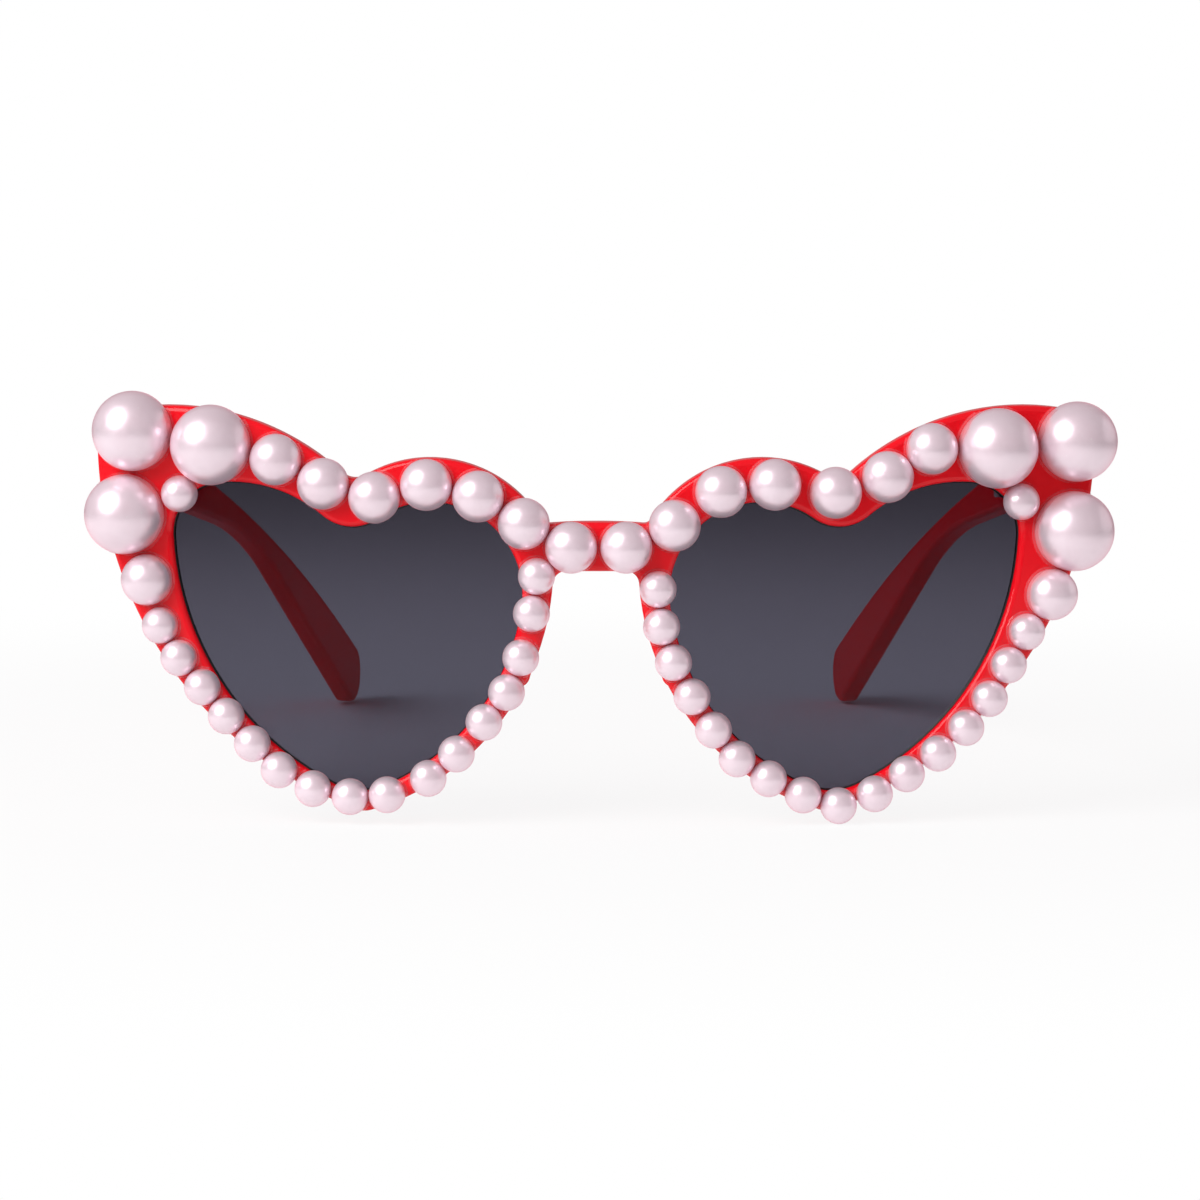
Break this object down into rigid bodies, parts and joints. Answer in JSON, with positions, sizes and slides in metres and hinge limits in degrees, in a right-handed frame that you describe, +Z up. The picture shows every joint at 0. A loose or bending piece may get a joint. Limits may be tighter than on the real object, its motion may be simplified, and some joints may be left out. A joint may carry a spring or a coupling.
{
  "type": "heart shaped sunglasses",
  "caption": "Sunglasses with heart shaped tinted lenses in a glossy red frame, imitation pearls glued along the rims, and temples that fold on screw hinges.",
  "frame": {"origin": "on the table under the glasses, in the front's middle plane and midway between the foremost pearl and the temple tips", "axes": "+X to the wearer's left, +Y back along the temples, +Z up; the front faces -Y"},
  "size_m": [0.1546, 0.1547, 0.0644],
  "materials": {
    "frame_red": "polished moulding",
    "temple_red": "polished moulding",
    "lens": "smoke grey tint, clear enough to see the temples through",
    "pearl": "pinkish white pearl lacquer",
    "hinge_steel": "plain",
    "screw_steel": "plain"
  },
  "bodies": {
    "front": {"front_frame": "frame_red", "left_lens": "lens", "right_lens": "lens", "left_front_hinge_leaf": "hinge_steel", "right_front_hinge_leaf": "hinge_steel", "left_hinge_screw": "screw_steel", "right_hinge_screw": "screw_steel", "left_large_pearl_1": "pearl", "left_large_pearl_2": "pearl", "left_large_pearl_3": "pearl", "left_medium_pearl_1": "pearl", "left_medium_pearl_2": "pearl", "left_medium_pearl_3": "pearl", "left_medium_pearl_4": "pearl", "left_medium_pearl_5": "pearl", "left_medium_pearl_6": "pearl", "left_medium_pearl_7": "pearl", "left_medium_pearl_8": "pearl", "left_accent_pearl": "pearl", "left_small_pearls": "pearl", "right_large_pearl_1": "pearl", "right_large_pearl_2": "pearl", "right_large_pearl_3": "pearl", "right_medium_pearl_1": "pearl", "right_medium_pearl_2": "pearl", "right_medium_pearl_3": "pearl", "right_medium_pearl_4": "pearl", "right_medium_pearl_5": "pearl", "right_medium_pearl_6": "pearl", "right_medium_pearl_7": "pearl", "right_medium_pearl_8": "pearl", "right_accent_pearl": "pearl", "right_small_pearls": "pearl"},
    "left_temple_arm": {"left_temple": "temple_red", "left_temple_hinge_leaf": "hinge_steel"},
    "right_temple_arm": {"right_temple": "temple_red", "right_temple_hinge_leaf": "hinge_steel"}
  },
  "joints": [
    {"name": "left_temple_fold", "type": "hinge", "parent": "front", "child": "left_temple_arm", "pos_m": [0.0618, -0.05403, 0.05044], "axis": [0, 0, 1], "range_deg": [0, 83]},
    {"name": "right_temple_fold", "type": "hinge", "parent": "front", "child": "right_temple_arm", "pos_m": [-0.0618, -0.05403, 0.05044], "axis": [0, 0, -1], "range_deg": [0, 77]}
  ]
}
